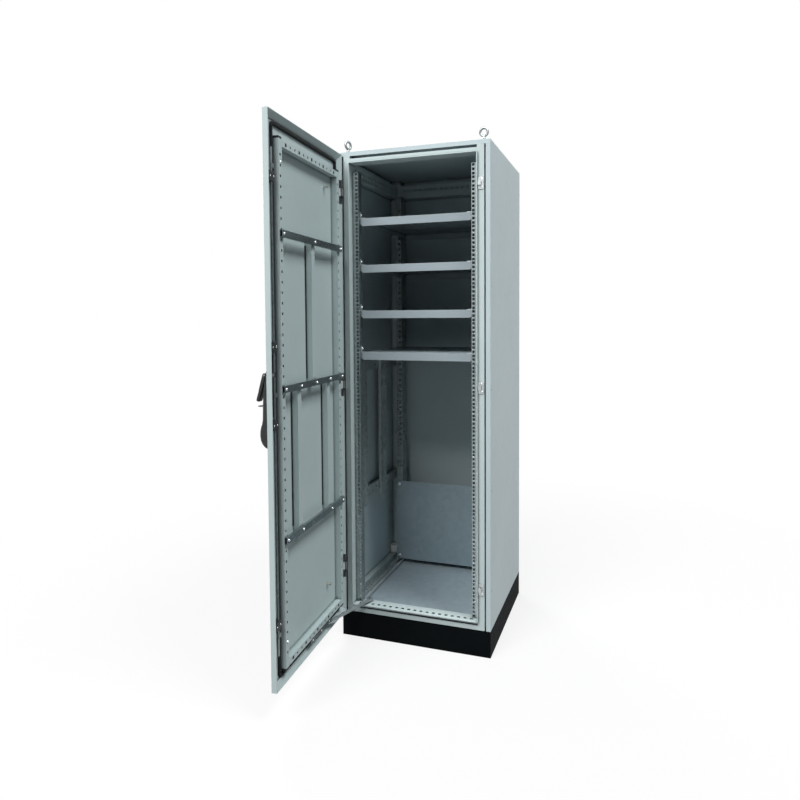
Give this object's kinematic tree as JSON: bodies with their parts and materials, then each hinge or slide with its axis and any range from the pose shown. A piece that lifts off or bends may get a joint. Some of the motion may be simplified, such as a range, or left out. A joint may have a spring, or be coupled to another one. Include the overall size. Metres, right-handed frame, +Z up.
{
  "type": "electrical control cabinet",
  "caption": "Floor-standing sheet-metal control cabinet on a plinth, its hinged door open, with rack rails, shelves, a rear mounting plate, a rod lock and lifting eyes.",
  "frame": {"origin": "on the floor at the middle of the plinth's bolt pattern", "axes": "+Z up, -Y out of the door opening, +X to the right when facing the opening"},
  "size_m": [0.602, 1.1972, 1.9515],
  "materials": {
    "light_grey_paint": "fine texture",
    "black_paint": "satin",
    "zinc": "zinc plated",
    "bright_steel": "polished",
    "black_plastic": "matte",
    "white_plastic": "matte",
    "black_foam": "matte"
  },
  "bodies": {
    "cabinet": {"plinth": "black_paint", "front_left_upright": "light_grey_paint", "front_right_upright": "light_grey_paint", "rear_left_upright": "light_grey_paint", "rear_right_upright": "light_grey_paint", "base_front_rail": "light_grey_paint", "base_rear_rail": "light_grey_paint", "base_left_rail": "light_grey_paint", "base_right_rail": "light_grey_paint", "top_front_rail": "light_grey_paint", "top_rear_rail": "light_grey_paint", "top_left_rail": "light_grey_paint", "top_right_rail": "light_grey_paint", "left_side_panel": "light_grey_paint", "right_side_panel": "light_grey_paint", "rear_panel": "light_grey_paint", "roof_panel": "light_grey_paint", "floor_plate": "zinc", "floor_channels": "zinc", "corner_blocks": "light_grey_paint", "base_corner_blocks": "white_plastic", "lifting_eyebolts": "bright_steel", "left_rack_rail": "zinc", "right_rack_rail": "zinc", "rear_rack_rails": "zinc", "shelf_1": "light_grey_paint", "shelf_2": "light_grey_paint", "shelf_3": "light_grey_paint", "shelf_4": "light_grey_paint", "shelf_brackets": "zinc", "side_bars": "zinc", "drop_rails": "zinc", "mounting_plate": "zinc", "latch_keepers": "zinc", "hinge_frame_blocks": "bright_steel", "hinge_pins": "bright_steel", "stay_pivot": "bright_steel"},
    "door": {"door_panel": "light_grey_paint", "door_gasket": "black_foam", "door_hinge_tube": "light_grey_paint", "door_lock_tube": "light_grey_paint", "door_top_tube": "light_grey_paint", "door_bottom_tube": "light_grey_paint", "tube_caps": "black_plastic", "upper_door_bar": "zinc", "middle_door_bar": "zinc", "lower_door_bar": "zinc", "door_stiffeners": "light_grey_paint", "earth_studs": "zinc", "hinge_door_blocks": "black_plastic", "lock_case": "black_plastic", "rod_guides": "zinc", "handle_base": "black_plastic", "padlock_eye": "bright_steel", "stay_slide_rail": "zinc"},
    "handle_spindle": {"handle_spindle": "bright_steel"},
    "handle_lever": {"handle_lever": "black_plastic"},
    "upper_lock_rod": {"upper_lock_rod": "zinc"},
    "lower_lock_rod": {"lower_lock_rod": "zinc"},
    "stay_arm": {"stay_arm": "zinc"}
  },
  "joints": [
    {"name": "door_swing", "type": "hinge", "parent": "cabinet", "child": "door", "pos_m": [-0.29, -0.312, 0], "axis": [0, 0, -1], "range_deg": [-86, 0]},
    {"name": "handle_turn", "type": "hinge", "parent": "door", "child": "handle_spindle", "pos_m": [-0.25957, -0.87625, 1.09], "axis": [0.9976, 0.0698, 0], "range_deg": [0, 90]},
    {"name": "lever_lift", "type": "hinge", "parent": "handle_spindle", "child": "handle_lever", "pos_m": [-0.27253, -0.87716, 1.09], "axis": [-0.0698, 0.9976, 0], "range_deg": [-17, 0], "stiffness_Nm_per_rad": 0.5, "springref_deg": 11.46},
    {"name": "upper_rod_slide", "type": "slide", "parent": "door", "child": "upper_lock_rod", "axis": [0, 0, 1], "range_m": [0, 0.022]},
    {"name": "lower_rod_slide", "type": "slide", "parent": "door", "child": "lower_lock_rod", "axis": [0, 0, -1], "range_m": [0, 0.022]},
    {"name": "stay_swing", "type": "hinge", "parent": "cabinet", "child": "stay_arm", "pos_m": [-0.195, -0.266, 0.141], "axis": [0, 0, -1], "range_deg": [-98.75, 0]}
  ],
  "couplings": [
    {"joint": "handle_turn", "follows": "upper_rod_slide", "rad_per_m": 71.4},
    {"joint": "lower_rod_slide", "follows": "upper_rod_slide", "ratio": 1},
    {"joint": "stay_swing", "follows": "door_swing", "ratio": 1.1478}
  ]
}
